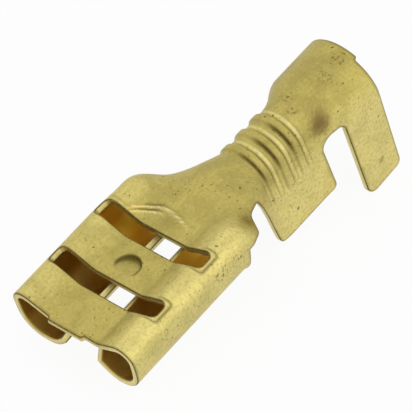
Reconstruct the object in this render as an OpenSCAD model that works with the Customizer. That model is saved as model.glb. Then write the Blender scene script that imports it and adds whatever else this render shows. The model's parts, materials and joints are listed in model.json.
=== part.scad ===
// Female spade terminal, one stamped and folded brass sheet.
// Millimetres. Back of the sheet up, wings down, mouth toward -X.

/* [Sheet] */
// thickness of the brass strip
sheet_t = 0.32; // [0.25:0.01:0.4]
// half width of the stub left by the carrier strip at each end
stub_half = 1.05; // [0.8:0.05:1.25]
// how far each stub stands out
stub_out = 0.26; // [0.1:0.01:0.5]

/* [Receptacle] */
// length of the part that holds the tab
socket_len = 7.85; // [6:0.05:10]
// overall width over both side rolls
socket_w = 7.5; // [7.2:0.05:8.2]
// half width of the flat middle of the back
flat_half = 1.32; // [1.3:0.02:1.6]
// slope from the flat up to the side crown
rise_deg = 26; // [15:1:30]
// length along the sheet where the slope bends
rise_run = 0.35; // [0.2:0.05:0.5]
// middle radius of the crown over each side
crown_r = 0.64; // [0.5:0.02:0.8]
// turn of the crown
crown_deg = 116; // [105:1:118]
// middle radius of the nearly upright side
side_r = 6.6; // [4:0.2:10]
// turn of the side
side_deg = 8; // [4:1:12]
// middle radius of the roll underneath
under_r = 1.17; // [0.9:0.01:1.3]
// turn of the roll underneath
under_deg = 126; // [110:1:130]
// straight run up toward the lip
slope_run = 0.37; // [0.2:0.01:0.6]
// middle radius where the lip turns up
lip_r = 0.5; // [0.4:0.05:0.8]
// turn of the lip
lip_deg = 18; // [8:1:30]
// straight end of the lip
lip_run = 0.82; // [0.4:0.02:0.9]
// lead-in cut off the front corner of each lip
lip_cut = 0.85; // [0.2:0.05:0.9]

/* [Cross slots] */
// front edge of the first slot
slot_x = 2.2; // [1.2:0.05:3]
// width of each slot along the terminal
slot_w = 0.95; // [0.6:0.05:1.4]
// distance from slot to slot
slot_pitch = 3.25; // [2:0.05:3.6]
// reach of each slot from the middle, along the sheet
slot_reach = 3.5; // [2.8:0.05:3.7]
// rounding of the slot corners
slot_round = 0.3; // [0.1:0.05:0.4]

/* [Lock dimple] */
// middle of the dimple from the mouth
dimple_x = 4.15; // [3.9:0.05:4.6]
// radius of the dimple
dimple_r = 0.66; // [0.4:0.02:0.8]
// depth at its rear edge
dimple_depth = 0.28; // [0.1:0.02:0.3]

/* [Neck] */
// distance of the stop step from the mouth
stop_x = 7.4; // [7.2:0.05:7.5]
// radius of the curved stop step
stop_r = 2.8; // [2.5:0.1:5]
// height of the stop step
stop_h = 0.09; // [0:0.01:0.2]
// middle radius of the neck behind the receptacle
neck_r = 2.44; // [2:0.02:3.5]
// height of the gentle hump over the neck
neck_hump = 0.22; // [0:0.01:0.4]
// half width of the blank at the bottom of the front notch
neck_half = 2.2; // [1.8:0.05:2.6]

/* [Wire barrel] */
// front edge of the wire wings
wire_x = 10.7; // [10.2:0.1:11.2]
// how far the front edge of each wing leans back toward its tip
wire_slant = 0.65; // [0.3:0.05:1]
// length of the wire wings
wire_len = 4.7; // [4.4:0.05:5]
// middle radius of the wire barrel
wire_r = 1.19; // [0.9:0.01:1.8]
// angle each wire wing turns from the back
wire_deg = 82; // [70:1:90]
// reach of each wire wing from the middle, along the sheet
wire_reach = 5.45; // [4:0.05:7]
// height of the wire barrel back over the receptacle back
wire_rise = 0.05; // [-0.2:0.01:0.3]
// front foot of the first grip rib from the mouth
rib_x = 11.75; // [11.5:0.05:12]
// distance from rib to rib
rib_pitch = 1.05; // [0.8:0.05:1.1]
// height of each rib
rib_h = 0.12; // [0:0.01:0.2]
// reach of the ribs from the middle, along the sheet
rib_reach = 3.2; // [2:0.1:4]

/* [Insulation barrel] */
// front edge of the insulation wings
grip_x = 16.72; // [16:0.02:17.5]
// length of the insulation wings
grip_len = 2.45; // [2:0.05:3.5]
// middle radius of the insulation barrel
grip_r = 2.09; // [1.7:0.01:2.6]
// angle each insulation wing turns from the back
grip_deg = 88; // [80:1:92]
// reach of each insulation wing from the middle, along the sheet
grip_reach = 8.35; // [6:0.05:9]
// height of the insulation barrel back over the receptacle back
grip_rise = 0.2; // [0:0.01:0.4]

/* [Hidden] */
brass = [0.78, 0.7, 0.42];
half_t = sheet_t / 2;
core_cells = 13;
slot_line = 10;
core_half = slot_reach + 0.5;
// what the width leaves for the straight run of the slope
bend_side = rise_run * sin(rise_deg) / (rise_deg * PI / 180);
crown_side = crown_r * (1 + sin(rise_deg));
shoulder_run = (socket_w / 2 - half_t - flat_half - bend_side - crown_side) / cos(rise_deg);
crown_run = flat_half + rise_run + shoulder_run;
crown_end = crown_run + crown_r * crown_deg * PI / 180;
side_end = crown_end + side_r * side_deg * PI / 180;
under_end = side_end + under_r * under_deg * PI / 180;
slope_end = under_end + slope_run;
lip_end = slope_end + lip_r * lip_deg * PI / 180;
socket_reach = lip_end + lip_run;
slot_end = slot_x + slot_pitch + slot_w;
wire_end = wire_x + wire_len;
grip_end = grip_x + grip_len;
total_end = grip_end + stub_out;
stop_span = 2.1;

// turning angle of the receptacle sheet at each length from the middle
side_turn = crown_deg - rise_deg + side_deg;
under_turn = side_turn + under_deg;
socket_turn = [
  [0, 0],
  [flat_half, 0],
  [flat_half + rise_run, -rise_deg],
  [crown_run, -rise_deg],
  [crown_end, crown_deg - rise_deg],
  [side_end, side_turn],
  [under_end, under_turn],
  [slope_end, under_turn],
  [lip_end, under_turn + lip_deg],
  [socket_reach + 5, under_turn + lip_deg]
];

function clamp01(value) = max(0, min(1, value));
function ease(from, to, value) = let (part = clamp01((value - from) / (to - from))) part * part * (3 - 2 * part);
function mix(first, second, share) = first * (1 - share) + second * share;

// share of neck, wire barrel and insulation barrel in the section at a distance from the mouth
function neck_share(along) = ease(socket_len - 0.35, wire_x, along);
function wire_share(along) = ease(socket_len + 2, wire_x + 1.4, along);
function grip_share(along) = ease(wire_end - 0.7, grip_x, along);
function hump_share(along) = ease(socket_len - 0.25, socket_len + 1.75, along)
  * (1 - ease(wire_x - 0.7, wire_x + 1.5, along));
function back_level(along) =
  let (front = wire_rise * ease(socket_len, wire_x, along) + neck_hump * hump_share(along))
  mix(front, grip_rise, grip_share(along));

function barrel_turn(along, reach) =
  let (share = wire_share(along))
  min(wire_deg + 12 * (1 - share), reach / mix(neck_r, wire_r, share) * 180 / PI);
function turn_at(along, reach) =
  let (held = along > socket_len ? reach : min(reach, core_half))
  let (opened = barrel_turn(along, held) - lookup(held, socket_turn))
  let (front = lookup(reach, socket_turn) + neck_share(along) * opened)
  let (rear = min(grip_deg, reach / grip_r * 180 / PI))
  mix(front, rear, grip_share(along));

// middle of the sheet as [side, level], by adding short steps
function walk(along, reach) =
  let (steps = max(1, ceil(reach / 0.08)))
  let (stride = reach / steps)
  let (path = [
    for (
      count = 0, side = 0, level = back_level(along) - half_t;
      count <= steps;
      side = side + stride * cos(turn_at(along, (count + 0.5) * stride)),
      level = level - stride * sin(turn_at(along, (count + 0.5) * stride)),
      count = count + 1
    ) [side, level]
  ])
  path[steps];

// small raised work on the back: grip ribs and the curved stop step
function rib_wave(along) =
  let (place = (along - rib_x) / rib_pitch)
  let (part = place - floor(place))
  place < 0 || place > 3 ? 0 : part < 0.35 ? ease(0, 0.35, part) : 1 - ease(0.5, 0.95, part);
function stop_line(reach) = stop_x - pow(min(reach, stop_span), 2) / 2 / stop_r;
function stop_step(along, reach) = ease(-0.08, 0.08, along - stop_line(reach))
  * (1 - ease(stop_x + 0.3, wire_x, along)) * (1 - ease(stop_span - 0.5, stop_span + 0.3, reach));
function relief(along, reach) = rib_h * rib_wave(along) * (1 - ease(rib_reach - 0.8, rib_reach, reach))
  + stop_h * stop_step(along, reach);

// edge of the blank between receptacle and barrel: [distance back, share from core to neck]
neck_cut = [[0.5, 0.16], [1.05, 0.34], [1.42, 0.5], [1.62, 0.7], [1.88, 0.86], [2.15, 0.96], [2.5, 1]];
// rear notch: [distance back, depth short of its widest]
notch_cut = [[0.15, 0.38], [0.4, 0.24], [0.7, 0.24]];

// half width of the blank without its wings
core_edge = concat(
  [[0, core_half], [socket_len, core_half]],
  [for (step = neck_cut) [socket_len + step[0], mix(core_half, neck_half, step[1])]],
  [[wire_x, neck_half], [wire_end - 0.5, neck_half + 0.1], [wire_end, neck_half + 0.6]],
  [for (step = notch_cut) [wire_end + step[0], neck_half + step[1]]],
  [[grip_x - 0.3, neck_half + 0.46], [grip_x - 0.12, neck_half + 0.75], [grip_x, neck_half + 1.1]],
  [[grip_end, stub_half * core_cells / 4], [total_end, stub_half * core_cells / 4]]
);

// front edge of the wire wings: [share of the slant, share of the wing]
wing_front = [[0, 0.05], [0.3, 0.2], [0.7, 0.46], [0.93, 0.75], [1.02, 0.9], [1.2, 0.97]];
// rounded ends of the insulation wings: [distance back, distance short of the full reach]
grip_front = [[0, 1.2], [0.16, 0.6], [0.6, 0.15], [1.15, 0]];
grip_rear = [[0.7, 0.13], [0.15, 0.35], [0, 0.6]];

// reach of the wings
wing_edge = concat(
  [for (step = wing_front) [wire_x + step[0] * wire_slant, mix(neck_half, wire_reach, step[1])]],
  [[wire_x + 1.55 * wire_slant, wire_reach], [wire_end - 0.32, wire_reach]],
  [[wire_end - 0.09, wire_reach - 0.1], [wire_end, wire_reach - 0.35]],
  [for (step = grip_front) [grip_x + step[0], grip_reach - step[1]]],
  [for (step = grip_rear) [grip_end - step[0], grip_reach - step[1]]]
);

// stations: [distance from the mouth, share of the stop curve, slot corner cut, cells from, cells to]
// the cells named at a station lie between it and the next one
socket_cells = core_cells + 16;
wing_cells = core_cells + 3;
function slot_row(start) = [
  [start, 0, slot_round, slot_line, socket_cells],
  [start + 0.3 * slot_round, 0, 0.29 * slot_round, slot_line, socket_cells],
  [start + slot_round, 0, 0, slot_line, socket_cells],
  [start + slot_w - slot_round, 0, 0, slot_line, socket_cells],
  [start + slot_w - 0.3 * slot_round, 0, 0.29 * slot_round, slot_line, socket_cells],
  [start + slot_w, 0, slot_round, 0, socket_cells]
];
rib_end = rib_x + 3 * rib_pitch;
stations = concat(
  [[-stub_out, 0, 0, 0, 1]],
  [[0, 0, 0, 0, socket_cells]],
  [[lip_cut, 0, 0, 0, socket_cells]],
  slot_row(slot_x),
  slot_row(slot_x + slot_pitch),
  [[(slot_end + stop_x - 0.08) / 2, 0.5, 0, 0, socket_cells]],
  [[stop_x - 0.08, 1, 0, 0, socket_cells]],
  [[stop_x, 1, 0, 0, socket_cells]],
  [[stop_x + 0.08, 1, 0, 0, socket_cells]],
  [[(stop_x + 0.08 + socket_len) / 2, 0.5, 0, 0, socket_cells]],
  [[socket_len, 0, 0, 0, core_cells]],
  [for (step = neck_cut) [socket_len + step[0], 0, 0, 0, core_cells]],
  [for (step = wing_front) [wire_x + step[0] * wire_slant, 0, 0, 0, wing_cells]],
  [for (rib = [0 : 2]) for (part = [0, 0.1, 0.25, 0.35, 0.5, 0.66, 0.8, 0.95])
    [rib_x + (rib + part) * rib_pitch, 0, 0, 0, wing_cells]],
  [[(rib_end + wire_end - 0.32) / 2, 0, 0, 0, wing_cells]],
  [[wire_end - 0.32, 0, 0, 0, wing_cells]],
  [[wire_end - 0.09, 0, 0, 0, wing_cells]],
  [[wire_end, 0, 0, 0, core_cells]],
  [for (step = notch_cut) [wire_end + step[0], 0, 0, 0, core_cells]],
  [for (back = [0.3, 0.12]) [grip_x - back, 0, 0, 0, core_cells]],
  [for (step = grip_front) [grip_x + step[0], 0, 0, 0, wing_cells]],
  [for (back = [0.7, 0.15]) [grip_end - back, 0, 0, 0, wing_cells]],
  [[grip_end, 0, 0, 0, 4]],
  [[total_end, 0, 0, 0, 0]]
);
last_row = len(stations) - 1;

// length from the middle of each grid line at a station
function socket_line(line, cut) =
  let (slot_stop = slot_reach - cut)
  line == 0 ? 0 :
  line == 1 ? stub_half :
  line == 2 ? flat_half :
  line == 3 ? flat_half + rise_run / 2 :
  line == 4 ? flat_half + rise_run :
  line <= slot_line ? min(mix(crown_run, slot_reach, (line - 5) / 5), slot_stop - 0.05 * (slot_line - line)) :
  mix(slot_stop, core_half, (line - slot_line) / 3);
function core_line(row, line) =
  let (along = stations[row][0])
  let (even = lookup(along, core_edge) * line / core_cells)
  mix(socket_line(line, stations[row][2]), even, ease(slot_end, socket_len + 1.3, along));
function curl_line(along, line) =
  let (stop = socket_reach - max(0, lip_cut - max(0, along)))
  line <= 3 ? mix(core_half, side_end, line / 3) :
  line <= 12 ? mix(side_end, under_end, (line - 3) / 9) :
  mix(slope_end, stop, (line - 13) / 3);
function wing_line(row, line) =
  let (along = stations[row][0])
  along <= socket_len ? curl_line(along, line) :
  mix(lookup(along, core_edge), lookup(along, wing_edge), min(1, line / 3));
function line_reach(row, line) = line <= core_cells ? core_line(row, line) : wing_line(row, line - core_cells);

// grid points on the outer and inner face, for one half
function row_along(row, reach) = stations[row][0] - stations[row][1] * pow(min(reach, stop_span), 2) / 2 / stop_r;
half_grid = [
  for (row = [0 : last_row]) [
    for (line = [0 : socket_cells])
      let (reach = line_reach(row, line))
      let (along = row_along(row, reach))
      let (middle = walk(along, reach))
      let (turn = turn_at(along, reach))
      let (lift = relief(along, reach))
      let (inner = max(0, lift - 0.05))
      [
        [along, middle[0] + sin(turn) * (lift + half_t), middle[1] + cos(turn) * (lift + half_t)],
        [along, middle[0] + sin(turn) * (inner - half_t), middle[1] + cos(turn) * (inner - half_t)]
      ]
  ]
];

line_count = 2 * socket_cells + 1;
sheet_points = [
  for (row = [0 : last_row])
    for (line = [-socket_cells : socket_cells])
      for (face = [0, 1])
        let (spot = half_grid[row][abs(line)][face])
        [spot[0], sign(line) * spot[1], spot[2]]
];
function spot_at(row, line, face) = (row * line_count + line + socket_cells) * 2 + face;
function cell_at(line) = line >= 0 ? line : -line - 1;
function filled(row, cell) =
  row >= 0 && row < last_row && cell < socket_cells && cell >= stations[row][3] && cell < stations[row][4];
function flat_pair(one, two, three, four) = [[one, two, three], [one, three, four]];
sheet_faces = [
  for (row = [0 : last_row - 1])
    for (line = [-socket_cells : socket_cells - 1])
      let (cell = cell_at(line))
      if (filled(row, cell))
        let (low = line)
        let (high = line + 1)
        let (past = line >= 0 ? cell + 1 : cell - 1)
        let (before = line >= 0 ? cell - 1 : cell + 1)
        let (tilt = line >= 0)
        each concat(
          tilt
            ? flat_pair(spot_at(row, low, 0), spot_at(row, high, 0), spot_at(row + 1, high, 0), spot_at(row + 1, low, 0))
            : flat_pair(spot_at(row, high, 0), spot_at(row + 1, high, 0), spot_at(row + 1, low, 0), spot_at(row, low, 0)),
          tilt
            ? flat_pair(spot_at(row, low, 1), spot_at(row + 1, low, 1), spot_at(row + 1, high, 1), spot_at(row, high, 1))
            : flat_pair(spot_at(row, high, 1), spot_at(row, low, 1), spot_at(row + 1, low, 1), spot_at(row + 1, high, 1)),
          filled(row - 1, cell) ? [] :
            flat_pair(spot_at(row, low, 0), spot_at(row, low, 1), spot_at(row, high, 1), spot_at(row, high, 0)),
          filled(row + 1, cell) ? [] :
            flat_pair(spot_at(row + 1, high, 0), spot_at(row + 1, high, 1), spot_at(row + 1, low, 1), spot_at(row + 1, low, 0)),
          past < 0 || filled(row, past) ? [] :
            flat_pair(spot_at(row, high, 0), spot_at(row, high, 1), spot_at(row + 1, high, 1), spot_at(row + 1, high, 0)),
          before < 0 || filled(row, before) ? [] :
            flat_pair(spot_at(row + 1, low, 0), spot_at(row + 1, low, 1), spot_at(row, low, 1), spot_at(row, low, 0))
        )
];

// rest on the mouth edges and the insulation wing tips
curl_low = min([for (line = [core_cells : socket_cells]) half_grid[1][line][0][2]]);
tip_spots = [for (row = [0 : last_row]) if (stations[row][0] > grip_x - 0.01 && stations[row][4] > core_cells) half_grid[row][wing_cells][0]];
lean = max([for (spot = tip_spots) atan2(curl_low - spot[2], spot[0])]);
function leaned(spot) = [spot[0] * cos(lean) - spot[2] * sin(lean), spot[1], spot[0] * sin(lean) + spot[2] * cos(lean)];
set_points = [for (row = [0 : last_row]) for (line = [0 : socket_cells]) for (face = [0, 1])
  if (filled(row, max(0, line - 1)) || filled(row - 1, max(0, line - 1))) leaned(half_grid[row][line][face])];
low_x = min([for (spot = set_points) spot[0]]);
high_x = max([for (spot = set_points) spot[0]]);
low_z = min([for (spot = set_points) spot[2]]);

module folded_sheet() {
  polyhedron(points = sheet_points, faces = sheet_faces, convexity = 12);
}

// dimple: a disc pressed down into the socket, deepest at its rear edge
dimple_tilt = asin(dimple_depth / 2 / dimple_r);
module dimple_disc(radius, top, depth) {
  translate([dimple_x, 0, 0])
    rotate([0, dimple_tilt, 0])
      translate([0, 0, top - depth])
        cylinder(r = radius, h = depth, $fn = 48);
}

// clean round wall inside a barrel
module round_channel(from, to, radius, level) {
  translate([from, 0, level])
    rotate([0, 90, 0])
      cylinder(r = radius, h = to - from, $fn = 72);
}

module terminal() {
  color(brass)
    translate([-(low_x + high_x) / 2, 0, -low_z])
      rotate([0, -lean, 0])
        difference() {
          union() {
            folded_sheet();
            dimple_disc(dimple_r + 0.06, -dimple_depth / 2, sheet_t);
          }
          dimple_disc(dimple_r, 1, 1 + dimple_depth / 2);
          round_channel(rib_x, wire_end + 0.1, wire_r - half_t + 0.02, wire_rise - half_t - wire_r);
          round_channel(grip_x - 0.1, total_end + 1, grip_r - half_t + 0.02, grip_rise - half_t - grip_r);
        }
}

terminal();
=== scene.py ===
import bpy
import bmesh
import json
import math
import numpy as np
from mathutils import Matrix, Vector, kdtree
from mathutils.geometry import delaunay_2d_cdt


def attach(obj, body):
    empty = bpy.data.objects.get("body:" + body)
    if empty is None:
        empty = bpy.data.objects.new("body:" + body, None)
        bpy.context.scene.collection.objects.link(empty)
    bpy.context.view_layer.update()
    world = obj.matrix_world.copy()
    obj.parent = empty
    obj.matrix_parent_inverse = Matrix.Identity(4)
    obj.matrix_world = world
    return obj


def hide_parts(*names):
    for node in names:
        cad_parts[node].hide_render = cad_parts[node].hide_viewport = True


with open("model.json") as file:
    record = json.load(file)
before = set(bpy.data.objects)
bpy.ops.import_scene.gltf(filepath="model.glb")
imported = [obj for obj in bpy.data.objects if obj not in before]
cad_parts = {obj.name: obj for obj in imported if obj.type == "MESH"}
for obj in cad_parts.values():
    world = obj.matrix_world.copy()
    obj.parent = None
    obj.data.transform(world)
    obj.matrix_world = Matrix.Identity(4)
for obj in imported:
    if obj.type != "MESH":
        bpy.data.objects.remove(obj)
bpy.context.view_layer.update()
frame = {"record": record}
mm = 0.001

# millimetres: "x" runs back from the mouth, "side" and "reach" along the sheet from its middle line
terminal = {
    "thick": 0.32,
    # carrier stubs: sides as (right, left), a little off the middle
    "frontOut": 0.16, "frontStub": (-0.65, 1.55), "rearOut": 0.26, "rearStub": (-1.12, 1.9),
    # receptacle: flat back, slope, crown, upright side, roll underneath, lip turned up
    "socketLen": 7.85, "socketWide": 7.5, "flatHalf": 1.32, "riseDeg": 26, "riseRun": 0.35,
    "crownR": 0.64, "crownDeg": 116, "sideR": 6.6, "sideDeg": 8, "underR": 1.17, "underDeg": 126,
    "slopeRun": 0.37, "lipR": 0.5, "lipDeg": 18, "lipRun": 0.82, "lipCut": 0.85,
    # the left roll is a little wider underneath, and drawn in by a share between these x
    "underMore": 0.23, "pinch": 0.03, "pinchX": (5.6, 7.4, 9.5),
    # cross slots through the back, with an edge drawn down round their right ends
    "slotX": 2.2, "slotWide": 0.95, "slotPitch": 3.25, "slotSides": (-3.26, 3.5), "slotRound": 0.3,
    "slotBand": 0.2, "slotDip": 0.06, "slotDipSides": (2.1, 2.8), "slotSquash": 1.3,
    # lock dimple: its floor slopes down from "dimpleFront" ahead of the middle
    "dimpleX": 4.13, "dimpleSide": 0.27, "dimpleR": 0.66, "dimpleDeep": 0.28, "dimpleFront": 0.42,
    "dimpleWall": 0.05,
    # neck, with the shoulder's edge as (x, side, corner radius)
    "coreHalf": 4.0, "neckR": 2.44, "neckHalf": 2.2,
    "neckHump": 0.26, "humpRise": (-0.4, 1.3), "humpFall": (-0.7, 1.5),
    "shoulder": [(8.75, 3.72, 0.3), (9.3, 3.36, 0.2), (9.75, 2.5, 0.6)],
    # curved stop step: bends as (left, right), two beads "stopGap" apart, sides where its ends fade
    "stopX": 7.58, "stopSide": 0.75, "stopBends": (0.36, 0.15), "stopReach": 1.7, "stopSoft": 0.07,
    "stopHigh": 0.05, "stopBead": 0.075, "stopGap": 0.28, "stopRight": (-1.3, -0.3), "stopLeft": (2.2, 2.6),
    # wire barrel
    "wireX": 10.7, "wireSlant": 0.64, "wireLen": 4.7, "wireR": 1.19, "wireDeg": 82, "wireTuck": 12,
    "wireReach": 5.64, "wireRise": 0.05, "wireFrom": 2, "wireTo": 1.4, "wireOpen": 0.35,
    # grip ribs: "ribShape" is where a rib is up, starts down and is down again, "ribEdges" two fine grooves
    # beside the flat to the next rib, all as shares of the pitch
    "ribX": 11.75, "ribPitch": 1.05, "ribCount": 3, "ribHigh": 0.13, "ribReach": 3.5, "ribFade": 0.7,
    "ribShape": (0.22, 0.46, 0.62), "ribEdges": (0.63, 0.88), "ribGroove": 0.02, "ribGrooveWide": 0.025,
    # insulation barrel
    "gripX": 16.72, "gripLen": 2.45, "gripR": 2.09, "gripDeg": 88, "gripFrom": 0.7,
    "gripReach": 8.34, "gripRise": 0.28, "gripAside": 0.05,
    # mesh: spacing, radius of the sheared edges, rings of points round the slots and the dimple's wall
    "cell": 0.1, "edgeRound": 0.065, "slotRings": (0.1, 0.16, 0.2, 0.24, 0.28, 0.34),
    "dimpleRings": (-0.16, -0.09, -0.05, -0.025, 0, 0.025, 0.05, 0.09, 0.16), "dimplePoints": 72,
}
t = terminal
wireEnd = t["wireX"] + t["wireLen"]
gripEnd = t["gripX"] + t["gripLen"]


def ease(start, end, value):
    part = np.clip((value - start) / (end - start), 0, 1)
    return part * part * (3 - 2 * part)


def mix(first, second, share):
    return first * (1 - share) + second * share


def socketTurns(underMore):
    # heading of the receptacle sheet at each length from its middle: lengths, degrees
    rise = math.radians(t["riseDeg"])
    bend = t["riseRun"] * math.sin(rise) / rise + t["crownR"] * (1 + math.sin(rise))
    shoulder = (t["socketWide"] / 2 - t["thick"] / 2 - t["flatHalf"] - bend) / math.cos(rise)
    runs = [(t["flatHalf"], 0), (t["riseRun"], -t["riseDeg"]), (shoulder, 0)]
    levelOut = 180 + t["riseDeg"] - t["crownDeg"] - t["sideDeg"]
    arcs = [(t["crownR"], t["crownDeg"]), (t["sideR"], t["sideDeg"]), (t["underR"], levelOut)]
    runs += [(radius * math.radians(turn), turn) for radius, turn in arcs] + [(underMore, 0)]
    runs.append((t["underR"] * math.radians(t["underDeg"] - levelOut), t["underDeg"] - levelOut))
    runs += [(t["slopeRun"], 0), (t["lipR"] * math.radians(t["lipDeg"]), t["lipDeg"]), (t["lipRun"], 0)]
    lengths = np.cumsum([0] + [run for run, turn in runs])
    return lengths, np.cumsum([0] + [turn for run, turn in runs])


rightLengths, turnDegrees = socketTurns(0)
leftLengths = socketTurns(t["underMore"])[0]


def socketHeading(reach, left):
    right = np.interp(reach, rightLengths, turnDegrees)
    return np.where(left, np.interp(reach, leftLengths, turnDegrees), right)


def wireShare(x):
    # how far the neck has closed to the wire barrel's radius
    return ease(t["socketLen"] + t["wireFrom"], t["wireX"] + t["wireTo"], x)


def gripShare(x):
    # how far the wire barrel has opened to the insulation barrel
    return ease(wireEnd - t["gripFrom"], t["gripX"], x)


def backLevel(x):
    # height of the back over the level of the mouth
    rise, full = (t["socketLen"] + past for past in t["humpRise"])
    fall, gone = (t["wireX"] + past for past in t["humpFall"])
    hump = ease(rise, full, x) * (1 - ease(fall, gone, x))
    front = t["wireRise"] * ease(t["socketLen"], t["wireX"], x) + t["neckHump"] * hump
    return mix(front, t["gripRise"], gripShare(x))


def heading(x, reach, left):
    # how far the sheet has turned down from level, in degrees
    held = np.where(x > t["socketLen"], reach, np.minimum(reach, t["coreHalf"]))
    share = wireShare(x)
    barrel = np.degrees(held / mix(t["neckR"], t["wireR"], share))
    barrel = np.minimum(t["wireDeg"] + t["wireTuck"] * (1 - share), barrel)
    opened = barrel - socketHeading(held, left)
    front = socketHeading(reach, left) + ease(t["socketLen"] - t["wireOpen"], t["wireX"], x) * opened
    rear = np.minimum(t["gripDeg"], np.degrees(reach / t["gripR"]))
    return mix(front, rear, gripShare(x))


def bell(value, width):
    return np.exp(-(value / width) ** 2)


def ribPart(x):
    # place within a rib's pitch, and whether there is a rib
    place = (x - t["ribX"]) / t["ribPitch"]
    return place - np.floor(place), (place > -0.15) & (place < t["ribCount"])


def ribLift(x, side):
    part, here = ribPart(x)
    up, topEnd, down = t["ribShape"]
    wave = np.where(x > t["ribX"], ease(0, up, part) * (1 - ease(topEnd, down, part)), 0)
    grooves = sum(bell(part - edge, t["ribGrooveWide"]) for edge in t["ribEdges"])
    lift = np.where(here, t["ribHigh"] * wave - t["ribGroove"] * grooves, 0)
    return lift * (1 - ease(t["ribReach"] - t["ribFade"], t["ribReach"], np.abs(side)))


def pastStop(x, side):
    # distance behind the curved front line of the stop step
    away = side - t["stopSide"]
    line = t["stopX"] - np.where(away > 0, *t["stopBends"]) * np.minimum(np.abs(away), t["stopReach"]) ** 2
    return x - line


def stopLift(x, side):
    # a step up to the neck, a bead along it, and a lower bead ahead of its left end
    past = pastStop(x, side)
    soft = t["stopSoft"]
    step = t["stopHigh"] * ease(-soft, soft, past) * (1 - ease(t["stopX"] + 0.3, t["wireX"], x))
    beads = bell(past, soft) + 0.7 * bell(past + t["stopGap"], 0.06) * ease(0.9, 1.5, side)
    return (step + t["stopBead"] * beads) * (1 - ease(*t["stopLeft"], side)) * ease(*t["stopRight"], side)


def slotAway(x, side):
    # how far past the right end of the nearer cross slot, lengthways distance counting more
    middle = t["slotX"] + t["slotWide"] / 2
    along = np.minimum(np.abs(x - middle), np.abs(x - middle - t["slotPitch"])) - t["slotWide"] / 2
    return np.hypot(t["slotSquash"] * np.maximum(along, 0), np.maximum(t["slotSides"][0] - side, 0))


def dimpleAway(x, side):
    return np.hypot(x - t["dimpleX"], side - t["dimpleSide"])


def dimpleRamp(x):
    # slope of the dimple's floor: 0 at its front, 1 at its rear wall
    return np.clip((x - t["dimpleX"] + t["dimpleFront"]) / (t["dimpleR"] + t["dimpleFront"]), 0, 1)


def pressed(x, side):
    # how far ribs, stop step, slot ends and dimple lift the sheet off its folded surface
    slotEnd = t["slotDip"] * (1 - ease(0, t["slotBand"], slotAway(x, side))) * ease(*t["slotDipSides"], -side)
    dimple = 1 - ease(t["dimpleR"] - t["dimpleWall"], t["dimpleR"] + t["dimpleWall"], dimpleAway(x, side))
    return ribLift(x, side) + stopLift(x, side) - slotEnd - t["dimpleDeep"] * dimpleRamp(x) * dimple


def foldSheet(x, side, off):
    # blank points to millimetres in the level frame, off the middle of the sheet by "off"
    count = 160  # steps along the sheet from its middle to each point
    steps = (np.arange(count) + 0.5) / count
    reach = np.abs(side)
    left = side > 0
    turns = np.radians(heading(x[:, None], reach[:, None] * steps[None], left[:, None]))
    across = np.cos(turns).mean(1) * reach
    level = backLevel(x) - t["thick"] / 2 - np.sin(turns).mean(1) * reach
    turn = np.radians(heading(x, reach, left))
    lift = pressed(x, side) + off
    across += np.sin(turn) * lift
    start, full, end = t["pinchX"]
    across *= 1 - t["pinch"] * ease(start, full, x) * (1 - ease(t["socketLen"], end, x)) * left
    across = across * np.where(left, 1, -1) + t["gripAside"] * gripShare(x)
    return np.stack([x, across, level + np.cos(turn) * lift], -1)


def roundCorners(corners, step):
    # outline from (x, side, corner radius); its first and last point stay sharp
    path = []
    for index, (x, side, radius) in enumerate(corners):
        here = Vector((x, side))
        if radius == 0 or index in (0, len(corners) - 1):
            path.append(here)
            continue
        toLast = Vector(corners[index - 1][:2]) - here
        toNext = Vector(corners[index + 1][:2]) - here
        angle = toLast.angle(toNext)
        cut = min(radius / math.tan(angle / 2), 0.48 * toLast.length, 0.48 * toNext.length)
        radius = cut * math.tan(angle / 2)
        start, end = here + toLast.normalized() * cut, here + toNext.normalized() * cut
        inward = (toLast.normalized() + toNext.normalized()).normalized()
        centre = here + inward * radius / math.sin(angle / 2)
        count = max(3, math.ceil(radius * (math.pi - angle) / (0.6 * step)))
        first, last = start - centre, end - centre
        spread = first.angle_signed(last)
        for part in range(count + 1):
            turned = first.copy()
            turned.rotate(Matrix.Rotation(-spread * part / count, 2))
            path.append(centre + turned)
    return path


def fillRuns(path, step):
    # extra points on the straight runs
    out = []
    for here, after in zip(path[:-1], path[1:]):
        count = max(1, round((after - here).length / step))
        out += [here.lerp(after, part / count) for part in range(count)]
    return out + [path[-1]]


def blankHalf(frontStub, rearStub, lipEnd):
    # one half of the blank as (x, side, corner radius), from the mouth to the rear
    lipRear, core, notch = t["socketLen"] + 0.1, t["coreHalf"], t["neckHalf"]
    wireX, wireReach, gripX, gripReach = t["wireX"], t["wireReach"], t["gripX"], t["gripReach"]
    mouth = [
        (-t["frontOut"], 0, 0), (-t["frontOut"], frontStub - 0.08, 0.06), (0, frontStub + 0.02, 0.1),
        (-0.05, 3, 0.5), (-0.05, lipEnd - t["lipCut"], 0.2), (t["lipCut"], lipEnd, 0.2),
        (lipRear, lipEnd, 0.15), (lipRear, core + 1.7, 0.3), (t["socketLen"] + 0.26, core + 0.25, 0.1),
    ]
    wireWing = [
        (wireX - 0.05, notch + 0.05, 0.12), (wireX + 0.36, 3.7, 1.5),
        (wireX + t["wireSlant"], wireReach, 0.3), (wireEnd + 0.06, wireReach, 0.25),
        (wireEnd + 0.02, notch + 0.42, 0.9),
    ]
    gripWing = [
        (gripX - 0.02, notch + 0.66, 0.45), (gripX + 0.2, gripReach, 0.6),
        (gripEnd + 0.16, gripReach - 0.14, 0.35), (gripEnd + 0.08, rearStub + 0.02, 0.1),
        (gripEnd + t["rearOut"], rearStub - 0.05, 0.08), (gripEnd + t["rearOut"], 0, 0),
    ]
    return mouth + t["shoulder"] + wireWing + gripWing


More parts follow.
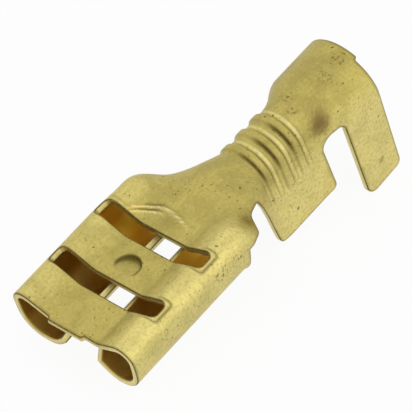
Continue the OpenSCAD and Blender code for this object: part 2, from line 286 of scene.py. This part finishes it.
def blankOutline(step):
    front, rear = t["frontStub"], t["rearStub"]
    left = fillRuns(roundCorners(blankHalf(front[1], rear[1], leftLengths[-1]), step), step)
    right = fillRuns(roundCorners(blankHalf(-front[0], -rear[0], rightLengths[-1]), step), step)
    return left + [Vector((point.x, -point.y)) for point in reversed(right[1:-1])]


def slotOutline(start, step):
    end, radius = start + t["slotWide"], t["slotRound"]
    right, left = t["slotSides"]
    path = []
    for first, last, side in ((start, end, left), (end, start, right)):
        half = [(first, 0, 0), (first, side, radius), (last, side, radius), (last, 0, 0)]
        path += fillRuns(roundCorners(half, step), step)[:-1]
    return path


def insetNormals(loop, inside):
    # unit vectors from a closed outline toward the metal
    points = np.array([point[:] for point in loop])
    along = np.roll(points, -1, 0) - np.roll(points, 1, 0)
    along /= np.linalg.norm(along, axis=1)[:, None]
    x, y = points[:, 0], points[:, 1]
    area = np.sum(x * np.roll(y, -1) - np.roll(x, -1) * y)
    normals = np.stack([-along[:, 1], along[:, 0]], -1) * (1 if area > 0 else -1)
    return points, normals if inside else -normals


def insideLoop(points, loop):
    # even-odd test of points against a closed outline
    inside = np.zeros(len(points), bool)
    for here, after in zip(loop, np.roll(loop, -1, 0)):
        spans = (here[1] > points[:, 1]) != (after[1] > points[:, 1])
        if here[1] != after[1]:
            crossing = here[0] + (points[:, 1] - here[1]) * (after[0] - here[0]) / (after[1] - here[1])
            inside ^= spans & (points[:, 0] < crossing)
    return inside


# painted shade, painted highlights and the pale cut faces, as (strength, place, half width): millimetres, or
# shares of the pitch on the ribs
lightAndCutMarks = {
    "ribFoot": (0.8, 0.1, 0.12), "ribFootLine": (0.5, 0.12, 0.045), "ribEdge": (0.6, 0, 0.03),
    "ribFlat": (1, 0.75, 0.1), "dimpleWall": (1, -0.03, 0.075), "slotRim": (0.85, 0, 0.06),
    "stopFront": (1, -0.14, 0.08), "stopRear": (0.7, 0.15, 0.1), "stopFaint": (0.35, 0.1, 0.06),
    "stopCrest": (1, 0, 0.05), "stopGlint": (1, -0.05, 0.14),
    # sides between which a mark fades
    "ribUpper": (0.4, 1.05), "ribLower": (-0.9, 0.1),
    "slotRimSides": (2.4, 3.1), "stopCrestSides": (-1.1, -0.2),
    # strengths alone, and how far the painted shade of the rim's dark edge reaches onto the skin
    "slotWall": 0.4, "leftLit": 0.55, "flatHighlight": 0.8, "glint": 0.45, "skinEdge": 0.45,
    "cutOuter": 0.25, "cutInner": 0.65, "crestPale": 0.5, "flatPale": 0.3,
}


def stroke(name, value):
    strength, place, width = lightAndCutMarks[name]
    return strength * bell(value - place, width)


def ribMarks(x, side):
    # painted shade: dark feet on the upper part, fine dark lines further down; painted highlight: bright
    # flats between the ribs
    part, here = ribPart(x)
    reach = np.abs(side)
    here = here & (reach < t["ribReach"])
    upper = 1 - ease(*lightAndCutMarks["ribUpper"], np.abs(side + 0.85))
    lower = 1 - ease(*lightAndCutMarks["ribLower"], side)
    lines = stroke("ribFootLine", part)
    for edge in t["ribEdges"]:
        lines += stroke("ribEdge", part - edge)
    foot = stroke("ribFoot", part) * upper + lines * (0.3 + 0.7 * lower)
    dark = np.where(here, foot * (1 - ease(t["ribReach"] - 0.5, t["ribReach"], reach)), 0)
    return dark, np.where(here, stroke("ribFlat", part), 0), upper


def stopMarks(x, side):
    # painted shade in the grooves, painted highlights on the crests, and a painted reflection of the roll's
    # colour in the left end
    past = pastStop(x, side)
    leftEnd = ease(0.6, 1.4, side) * (1 - ease(2.0, 2.5, side))
    dark = stroke("stopFront", past) * leftEnd + stroke("stopRear", past) * leftEnd * (side < 1.9)
    dark += stroke("stopFaint", past) * ease(-0.9, -0.2, side) * (1 - leftEnd)
    crest = stroke("stopCrest", past) * ease(*lightAndCutMarks["stopCrestSides"], side)
    crest += stroke("stopCrest", past + t["stopGap"]) * leftEnd
    crest *= (side < 2.4) & (x > 6) & (x < 8)
    glint = stroke("stopGlint", past) * ease(1.5, 2.1, side) * ((side < 2.5) & (x > 6) & (x < 7.5))
    return dark, crest, glint


def sheetMarks(x, side, off, rimmed):
    # painted shade, painted light and pale cut faces at points of the blank: "rimmed" is 1 on the cut faces
    reach = np.abs(side)
    outer = off > 0
    cut = rimmed == 1
    socketEnd = t["socketLen"]
    slotsEnd = t["slotX"] + t["slotPitch"] + t["slotWide"]
    atSlots = (x > t["slotX"] - 0.2) & (x < slotsEnd + 0.2) & (reach < t["slotSides"][1] + 0.2)
    ribDark, flats, upper = ribMarks(x, side)
    stopDark, crest, glint = stopMarks(x, side)
    flats, crest = flats * outer, crest * outer

    # painted shade on the dimple's wall, in the stop step's grooves, round the slots' right ends and on the
    # slots' walls
    wall = stroke("dimpleWall", dimpleAway(x, side) - t["dimpleR"]) * ease(0, 0.4, dimpleRamp(x))
    slotRim = stroke("slotRim", slotAway(x, side) - t["slotBand"]) * ease(*lightAndCutMarks["slotRimSides"], -side)
    front = np.where(x < 8.5, np.maximum.reduce([wall, stopDark, slotRim]), 0)
    slotWall = lightAndCutMarks["slotWall"] * (atSlots & cut & (side < 2.8))
    paintedShade = np.maximum(outer * np.maximum(ribDark, front), slotWall)

    # painted light: the sides of the rolls and wings lighter, less so on the left, with painted highlights on
    # rib flats and crests
    roll = ease(1.5, 3.0, reach) * (1 - ease(socketEnd, socketEnd + 1.5, x))
    wing = ease(1.6, 3.2, reach) * ease(t["wireX"] - 0.6, t["wireX"] + 0.6, x)
    paintedLight = np.maximum(roll, wing) * np.where(side < 0, 1, lightAndCutMarks["leftLit"])
    paintedLight = np.clip(paintedLight + lightAndCutMarks["flatHighlight"] * flats + crest, 0, 1)

    # a cut face is pale, more so toward the inside; its rounded edges get painted shade, and stop crests and
    # rib flats painted highlights
    half, radius = t["thick"] / 2, t["edgeRound"]
    rounded = ease(half - 1.15 * radius, half - 0.45 * radius, np.abs(off))
    pale = np.where(atSlots, lightAndCutMarks["cutOuter"], lightAndCutMarks["cutOuter"] + lightAndCutMarks["cutInner"] * (off < -0.01))
    sheenShare = lightAndCutMarks["crestPale"] * crest + lightAndCutMarks["flatPale"] * flats * upper
    cutAndHighlight = np.maximum(pale * (1 - rounded) * cut, sheenShare)
    # painted shade on the rounded edges, weaker on the inner side
    edgeShade = rimmed * rounded * (0.35 + 0.65 * outer)

    # painted reflection: the rolls' inner faces take the warm brown of light bounced between them, and
    # outside a painted glint at the stop's left end
    inside = ease(1.3, 2.4, reach) * (1 - ease(socketEnd - 0.2, socketEnd + 1.2, x)) * (rimmed < 1)
    paintedReflection = np.where(outer, lightAndCutMarks["glint"] * glint, inside)
    return {"paintedShade": paintedShade, "paintedLight": paintedLight, "cutAndHighlight": cutAndHighlight, "edgeShade": edgeShade, "paintedReflection": paintedReflection}


def markSheet(data, laid, rimmed):
    for name, values in sheetMarks(*laid.T, rimmed).items():
        data.attributes.new(name, "FLOAT", "POINT").data.foreach_set("value", values.astype(np.float32))
    blank = data.attributes.new("blank", "FLOAT_VECTOR", "POINT")
    blank.data.foreach_set("vector", laid.astype(np.float32).ravel())


def gridRows(cell):
    # places along the sheet, twice as close on the ribs
    ribStart, ribEnd = t["ribX"] - 0.1, t["ribX"] + t["ribCount"] * t["ribPitch"]
    front, ribs = np.arange(-0.2, ribStart, cell), np.arange(ribStart, ribEnd + 0.1, cell / 2)
    return np.concatenate([front, ribs, np.arange(ribEnd + 0.15, gripEnd + 0.2, cell)])


def skinPoints(rims):
    # points of the flat blank: outlines drawn in by the edge radius, rings round slots and dimple, a grid
    cell = t["cell"]
    flat, edges = [], []
    for points, normals in rims:
        first, count = len(flat), len(points)
        flat += [Vector(point) for point in points + normals * t["edgeRound"]]
        edges += [(first + index, first + (index + 1) % count) for index in range(count)]
    for points, normals in rims[1:]:
        for away in t["slotRings"]:
            flat += [Vector(point) for point in points + normals * away]
    for away in t["dimpleRings"]:
        ring = t["dimpleR"] + away
        for index in range(t["dimplePoints"]):
            angle = math.tau * (index + 0.5 * (away > 0)) / t["dimplePoints"]
            x, side = t["dimpleX"] + ring * math.cos(angle), t["dimpleSide"] + ring * math.sin(angle)
            flat.append(Vector((x, side)))
    tree = kdtree.KDTree(len(flat))
    for index, point in enumerate(flat):
        tree.insert((point.x, point.y, 0), index)
    tree.balance()
    for x in gridRows(cell):
        for side in np.arange(-90, 91) * cell:
            if tree.find((x, side, 0))[2] > 0.6 * cell:
                flat.append(Vector((x, side)))
    return flat, edges


def cutSkin(rims):
    # flat skin of the blank: its points, its faces, and which points lie on the rims
    flat, edges = skinPoints(rims)
    made = delaunay_2d_cdt(flat, edges, [], 1, 1e-6)
    skin = np.array([point[:] for point in made[0]])
    middles = skin[np.array(made[2])].mean(1)
    metal = insideLoop(middles, rims[0][0])
    for points, normals in rims[1:]:
        metal &= ~insideLoop(middles, points + normals * t["edgeRound"])
    faces = [face for face, kept in zip(made[2], metal) if kept]
    place = {source: index for index, found in enumerate(made[3]) for source in found}
    return skin, faces, [place[start] for start, end in edges]


def edgeProfile():
    # a cut face from the outer to the inner side, as (how far out, off the middle of the sheet)
    radius, half = t["edgeRound"], t["thick"] / 2
    arc = [(radius * math.sin(a), half - radius + radius * math.cos(a)) for a in np.radians([30, 60, 90])]
    return arc + [(radius, 0)] + [(out, -off) for out, off in reversed(arc)]


def makeSheet(name):
    cell, half = t["cell"], t["thick"] / 2
    rims = [insetNormals(blankOutline(cell), True)]
    rims += [insetNormals(slotOutline(t["slotX"] + row * t["slotPitch"], cell), False) for row in (0, 1)]
    skin, faces, onRim = cutSkin(rims)
    nearRim = np.zeros(len(skin))
    nearRim[onRim] = lightAndCutMarks["skinEdge"]
    mesh = bmesh.new()
    laid, rimmed = [], []

    def addPoints(at, off, marks):
        # folds points that lie "off" the blank's middle, and keeps their place and their share in a rim
        laid.extend((x, side, off) for x, side in at)
        rimmed.extend(marks)
        return [mesh.verts.new(spot * mm) for spot in foldSheet(at[:, 0], at[:, 1], np.full(len(at), off))]

    outer, inner = addPoints(skin, half, nearRim), addPoints(skin, -half, nearRim)
    for verts, order in ((outer, 1), (inner, -1)):
        for face in faces:
            mesh.faces.new([verts[index] for index in face[::order]])
    first = 0
    for points, normals in rims:
        count = len(points)
        joined = onRim[first:first + count]
        rings = [[outer[index] for index in joined]]
        for out, off in edgeProfile():
            rings.append(addPoints(points + normals * (t["edgeRound"] - out), off, [1] * count))
        rings.append([inner[index] for index in joined])
        for upper, lower in zip(rings[:-1], rings[1:]):
            for index in range(count):
                after = (index + 1) % count
                mesh.faces.new([upper[index], lower[index], lower[after], upper[after]])
        first += count

    kept = np.array([bool(vert.link_faces) for vert in mesh.verts])
    bmesh.ops.delete(mesh, geom=[vert for vert in mesh.verts if not vert.link_faces], context="VERTS")
    bmesh.ops.recalc_face_normals(mesh, faces=mesh.faces)
    for face in mesh.faces:
        face.smooth = True
    data = bpy.data.meshes.new(name)
    mesh.to_mesh(data)
    mesh.free()
    markSheet(data, np.array(laid)[kept], np.array(rimmed)[kept])
    sheet = bpy.data.objects.new(name, data)
    bpy.context.scene.collection.objects.link(sheet)
    return sheet


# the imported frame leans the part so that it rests: its tab mount gives the place and the lean
tab = next(mount for mount in frame["record"]["mounts"] if mount["name"] == "tab_socket")
lean = math.atan2(-tab["axis"][2], -tab["axis"][0])
tabDepth = t["thick"] + 0.4  # the middle of the tab lies this far under the back
stand = Matrix.Translation(tab["pos_m"]) @ Matrix.Rotation(-lean, 4, "Y")
stand = stand @ Matrix.Translation((0, 0, tabDepth * mm))

sheet = makeSheet("foldedSheet")
sheet.data.transform(stand)
print("folded sheet:", len(sheet.data.polygons), "faces")


# lengths in millimetres; noise values run from 0 to 1
brassLook = {
    # colours: the olive turns toward the bright one under painted light, the darkest serves specks and
    # painted shade, cream serves cut faces and painted highlights, and the two warm browns are painted
    # reflection inside the rolls
    "olive": (0.505, 0.42, 0.12), "bright": (0.74, 0.635, 0.225), "dull": (0.335, 0.275, 0.075),
    "cream": (0.86, 0.76, 0.42), "grimeAndShade": (0.085, 0.055, 0.012), "inside": (0.52, 0.31, 0.055),
    "insideRear": (0.80, 0.52, 0.06), "insideTurn": (4.6, 5.4), "smudge": (0.17, 0.11, 0.035),
    # noises: (size, detail, roughness, stretch), and between which values three of them set in
    "cloud": (1.1, 4, 0.6, (1, 1, 1)), "grain": (0.16, 3, 0.65, (1, 1, 1)),
    "scratch": (0.35, 4, 0.7, (0.35, 3.5, 1)), "crossing": (0.4, 4, 0.7, (3.2, 0.5, 1)),
    "speck": (0.17, 1, 0.4, (1, 1, 1)), "patch": (1.7, 2, 0.5, (1, 1, 0)), "pit": (0.14, 1, 0.5, (1, 1, 1)),
    "cloudDull": (0.60, 0.36), "speckSpread": (0.665, 0.72), "pitSpread": (0.56, 0.63),
    # layers over the olive: noise, value where it starts, value where it is full, share, colour
    "layers": [
        ("grain", 0.56, 0.32, 0.42, "dull"), ("grain", 0.55, 0.75, 0.35, "bright"),
        ("scratch", 0.60, 0.72, 0.30, "bright"), ("crossing", 0.62, 0.72, 0.28, "dull"),
    ],
    "speckShare": 0.75, "shadeShare": 0.8,
    # noise values, and the shares they turn into: specks by patches, and the unevenness of the marks
    "patchy": (0.46, 0.60, 0.12, 1), "shadeUneven": (0.25, 0.55, 0.7, 1),
    "reflectionUneven": (0.3, 0.7, 0.85, 1), "cutAndHighlightUneven": (0.3, 0.6, 0.6, 1),
    "edgeShadeUneven": (0.3, 0.6, 0.6, 0.95),
    "roughness": 0.46, "roughnessSwing": 0.14, "shadeRough": 0.2,
    "bump": 0.15, "bumpHeight": 0.02, "bumpGrain": 0.6, "bumpScratch": 0.4,
    # tarnished spots and clusters of pits on the blank: (x, side, radius, strength)
    "smudges": [
        (15.8, -1.83, 0.75, 0.75), (15.9, -1.5, 1.2, 0.3), (7.0, 0.4, 0.9, 0.22), (17.6, -0.2, 1.5, 0.12),
        (9.3, -2.7, 0.5, 0.4), (18.2, -6.9, 0.3, 0.45),
    ],
    "pits": [
        (6.2, -4.2, 0.8, 0.8), (7.3, -4.3, 0.6, 0.8), (15.7, 0.1, 0.5, 0.8), (15.2, -0.5, 0.4, 0.7),
        (17.6, -0.64, 0.6, 0.6), (18.8, -0.36, 0.35, 0.7), (13.3, -3.25, 0.5, 0.6), (12.5, -3.4, 0.4, 0.5),
    ],
}


def makeBrass():
    look = brassLook
    brass = bpy.data.materials.new("brass")
    brass.use_nodes = True
    nodes, link = brass.node_tree.nodes, brass.node_tree.links.new
    shader = nodes["Principled BSDF"]

    def mark(name, output="Fac"):
        node = nodes.new("ShaderNodeAttribute")
        node.attribute_name = name
        return node.outputs[output]

    def feed(socket, value):
        if isinstance(value, bpy.types.NodeSocket):
            link(value, socket)
        elif isinstance(value, tuple):
            socket.default_value = (*value, 1) if len(socket.default_value) == 4 else value
        else:
            socket.default_value = value

    def maths(operation, first, second=0.0, clamp=False):
        node = nodes.new("ShaderNodeMath")
        node.operation = operation
        node.use_clamp = clamp
        feed(node.inputs[0], first)
        feed(node.inputs[1], second)
        return node.outputs[0]

    def spread(value, low, high, start=0.0, end=1.0):
        # value between low and high, turned into start to end
        node = nodes.new("ShaderNodeMapRange")
        node.interpolation_type = "SMOOTHSTEP"
        for socket, number in zip(list(node.inputs)[:5], (value, low, high, start, end)):
            feed(socket, number)
        return node.outputs[0]

    def blend(share, first, second):
        node = nodes.new("ShaderNodeMix")
        node.data_type = "RGBA"
        feed(node.inputs[0], share)
        feed(node.inputs[6], first)
        feed(node.inputs[7], second)
        return node.outputs[2]

    place = mark("blank", "Vector")

    def stretch(scale):
        node = nodes.new("ShaderNodeMapping")
        node.inputs["Scale"].default_value = scale
        link(place, node.inputs["Vector"])
        return node.outputs[0]

    def noise(name):
        size, detail, rough, scale = look[name]
        node = nodes.new("ShaderNodeTexNoise")
        node.inputs["Scale"].default_value = 1 / size
        node.inputs["Detail"].default_value = detail
        node.inputs["Roughness"].default_value = rough
        link(place if scale == (1, 1, 1) else stretch(scale), node.inputs["Vector"])
        return node.outputs["Fac"]

    noises = {name: noise(name) for name in ("cloud", "grain", "scratch", "crossing")}
    cloud, grain, scratch = noises["cloud"], noises["grain"], noises["scratch"]

    def shade(colour, share, strength, tint):
        return blend(maths("MULTIPLY", share, strength), colour, look.get(tint, tint))

    # painted light: lighter sides and painted highlights blend the olive toward the bright colour, and the
    # cloud dulls less there
    colour = blend(mark("paintedLight"), look["olive"], look["bright"])
    sheenShare = spread(mark("paintedLight"), 0, 1, 0.45, 0.2)
    colour = shade(colour, spread(cloud, *look["cloudDull"]), sheenShare, "dull")
    for name, low, high, share, tint in look["layers"]:
        colour = shade(colour, spread(noises[name], low, high), share, tint)

    # specks gather in patches
    patches = spread(noise("patch"), *look["patchy"])
    dots = maths("MULTIPLY", spread(noise("speck"), *look["speckSpread"]), patches)
    colour = shade(colour, dots, look["speckShare"], "grimeAndShade")

    def spot(x, side, radius, strength):
        away = nodes.new("ShaderNodeVectorMath")
        away.operation = "DISTANCE"
        link(stretch((1, 1, 0)), away.inputs[0])
        away.inputs[1].default_value = (x, side, 0)
        ragged = maths("MULTIPLY_ADD", grain, 0.5 * radius)
        ragged.node.inputs[2].default_value = -0.25 * radius
        reach = maths("ADD", away.outputs["Value"], ragged)
        return maths("MULTIPLY", spread(reach, radius, 0.15 * radius), strength)

    for smudge in look["smudges"]:
        colour = blend(spot(*smudge), colour, look["smudge"])
    pits = spread(noise("pit"), *look["pitSpread"])
    for cluster in look["pits"]:
        colour = shade(colour, pits, spot(*cluster), "smudge")

    # marks of the sheet, each a little uneven: painted shade, painted reflection inside the rolls, pale cut
    # faces with painted highlights, and painted shade on the rounded edges
    unevenShade = maths("MULTIPLY", mark("paintedShade"), spread(grain, *look["shadeUneven"]))
    colour = shade(colour, unevenShade, look["shadeShare"], "grimeAndShade")
    split = nodes.new("ShaderNodeSeparateXYZ")
    link(place, split.inputs[0])
    # painted reflection inside the rolls, warmer toward the rear slot
    inside = blend(spread(split.outputs["X"], *look["insideTurn"]), look["inside"], look["insideRear"])
    colour = shade(colour, mark("paintedReflection"), spread(cloud, *look["reflectionUneven"]), inside)
    # pale cut faces, with painted highlights on the stop crests and rib flats
    colour = shade(colour, mark("cutAndHighlight"), spread(scratch, *look["cutAndHighlightUneven"]), "cream")
    # painted shade along the rounded edges
    colour = shade(colour, mark("edgeShade"), spread(grain, *look["edgeShadeUneven"]), "grimeAndShade")
    link(colour, shader.inputs["Base Color"])

    rough = maths("MULTIPLY_ADD", grain, look["roughnessSwing"])
    rough.node.inputs[2].default_value = look["roughness"] - look["roughnessSwing"] / 2
    # rougher where the painted shade lies
    rough = maths("ADD", rough, maths("MULTIPLY", mark("paintedShade"), look["shadeRough"]), clamp=True)
    link(rough, shader.inputs["Roughness"])
    shader.inputs["Metallic"].default_value = 1

    grainHeight = maths("MULTIPLY", grain, look["bumpGrain"])
    height = maths("ADD", grainHeight, maths("MULTIPLY", scratch, look["bumpScratch"]))
    bump = nodes.new("ShaderNodeBump")
    bump.inputs["Strength"].default_value = look["bump"]
    bump.inputs["Distance"].default_value = look["bumpHeight"] * mm
    link(height, bump.inputs["Height"])
    link(bump.outputs[0], shader.inputs["Normal"])
    return brass


sheet.data.materials.append(makeBrass())
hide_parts("terminal")
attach(sheet, "root")

# metres and watts; the floor glows so that it shows as plain white
room = {
    "floorSize": 3.0, "floorTone": 0.9, "floorGlow": 0.93, "floorRough": 0.9, "floorShine": 0.1,
    "worldLevel": 0.75, "lampAim": (0, 0, 0.004),
    "lamps": {
        "topLamp": {"place": (-0.1, 0.25, 0.5), "size": 0.5, "power": 0.12},
        "sideLamp": {"place": (-0.05, -0.38, 0.18), "size": 0.7, "power": 0.62},
    },
}


def seenShare(tree):
    # 1 for camera, glossy and transmission rays, so that metal shows the same white as the eye
    path = tree.nodes.new("ShaderNodeLightPath")
    share = path.outputs["Is Camera Ray"]
    for name in ("Is Glossy Ray", "Is Transmission Ray"):
        either = tree.nodes.new("ShaderNodeMath")
        either.operation = "MAXIMUM"
        tree.links.new(share, either.inputs[0])
        tree.links.new(path.outputs[name], either.inputs[1])
        share = either.outputs[0]
    return share


def makeWorld():
    world = bpy.data.worlds.new("studio")
    bpy.context.scene.world = world
    world.use_nodes = True
    tree = world.node_tree
    tree.nodes.clear()
    both = tree.nodes.new("ShaderNodeMixShader")
    tree.links.new(seenShare(tree), both.inputs[0])
    for socket, strength in ((1, room["worldLevel"]), (2, 1)):
        light = tree.nodes.new("ShaderNodeBackground")
        light.inputs["Color"].default_value = (1, 1, 1, 1)
        light.inputs["Strength"].default_value = strength
        tree.links.new(light.outputs[0], both.inputs[socket])
    out = tree.nodes.new("ShaderNodeOutputWorld")
    tree.links.new(both.outputs[0], out.inputs["Surface"])


def makeFloor():
    data = bpy.data.meshes.new("floor")
    half = room["floorSize"] / 2
    corners = [(-half, -half, 0), (half, -half, 0), (half, half, 0), (-half, half, 0)]
    data.from_pydata(corners, [], [(0, 1, 2, 3)])
    floor = bpy.data.objects.new("floor", data)
    bpy.context.scene.collection.objects.link(floor)
    paper = bpy.data.materials.new("paper")
    paper.use_nodes = True
    tree = paper.node_tree
    shader = tree.nodes["Principled BSDF"]
    tone = room["floorTone"]
    shader.inputs["Base Color"].default_value = (tone, tone, tone, 1)
    shader.inputs["Roughness"].default_value = room["floorRough"]
    shader.inputs["Specular IOR Level"].default_value = room["floorShine"]
    glow = tree.nodes.new("ShaderNodeEmission")
    both = tree.nodes.new("ShaderNodeMixShader")
    share = tree.nodes.new("ShaderNodeMath")
    share.operation = "MULTIPLY"
    share.inputs[1].default_value = room["floorGlow"]
    tree.links.new(seenShare(tree), share.inputs[0])
    tree.links.new(share.outputs[0], both.inputs[0])
    tree.links.new(shader.outputs[0], both.inputs[1])
    tree.links.new(glow.outputs[0], both.inputs[2])
    tree.links.new(both.outputs[0], tree.nodes["Material Output"].inputs["Surface"])
    floor.data.materials.append(paper)


def makeLamps():
    aim = Vector(room["lampAim"])
    for name, lamp in room["lamps"].items():
        light = bpy.data.lights.new(name, "AREA")
        light.size = lamp["size"]
        light.energy = lamp["power"]
        holder = bpy.data.objects.new(name, light)
        holder.location = lamp["place"]
        holder.rotation_euler = (aim - holder.location).to_track_quat("-Z", "Y").to_euler()
        bpy.context.scene.collection.objects.link(holder)


makeWorld()
makeFloor()
makeLamps()
print("floor, world and lamps")

# degrees and metres; lens and sensor in millimetres
view = {
    "azimuth": -136.98, "elevation": 38.85, "roll": 2.25,
    "distance": 0.1843, "lens": 350.4, "sensor": 36, "aim": (-0.001511, -0.000616, 0.004438),
}


def makeCamera():
    camera = bpy.data.objects.new("camera", bpy.data.cameras.new("camera"))
    camera.data.lens = view["lens"]
    camera.data.sensor_width = view["sensor"]
    camera.data.clip_start = 0.01
    azimuth, elevation = math.radians(view["azimuth"]), math.radians(view["elevation"])
    level = math.cos(elevation)
    toCamera = Vector((level * math.cos(azimuth), level * math.sin(azimuth), math.sin(elevation)))
    camera.location = Vector(view["aim"]) + toCamera * view["distance"]
    turn = toCamera.to_track_quat("Z", "Y").to_matrix()
    camera.rotation_euler = (turn @ Matrix.Rotation(math.radians(-view["roll"]), 3, "Z")).to_euler()
    bpy.context.scene.collection.objects.link(camera)
    bpy.context.scene.camera = camera


makeCamera()
bpy.context.scene.view_settings.view_transform = "Standard"
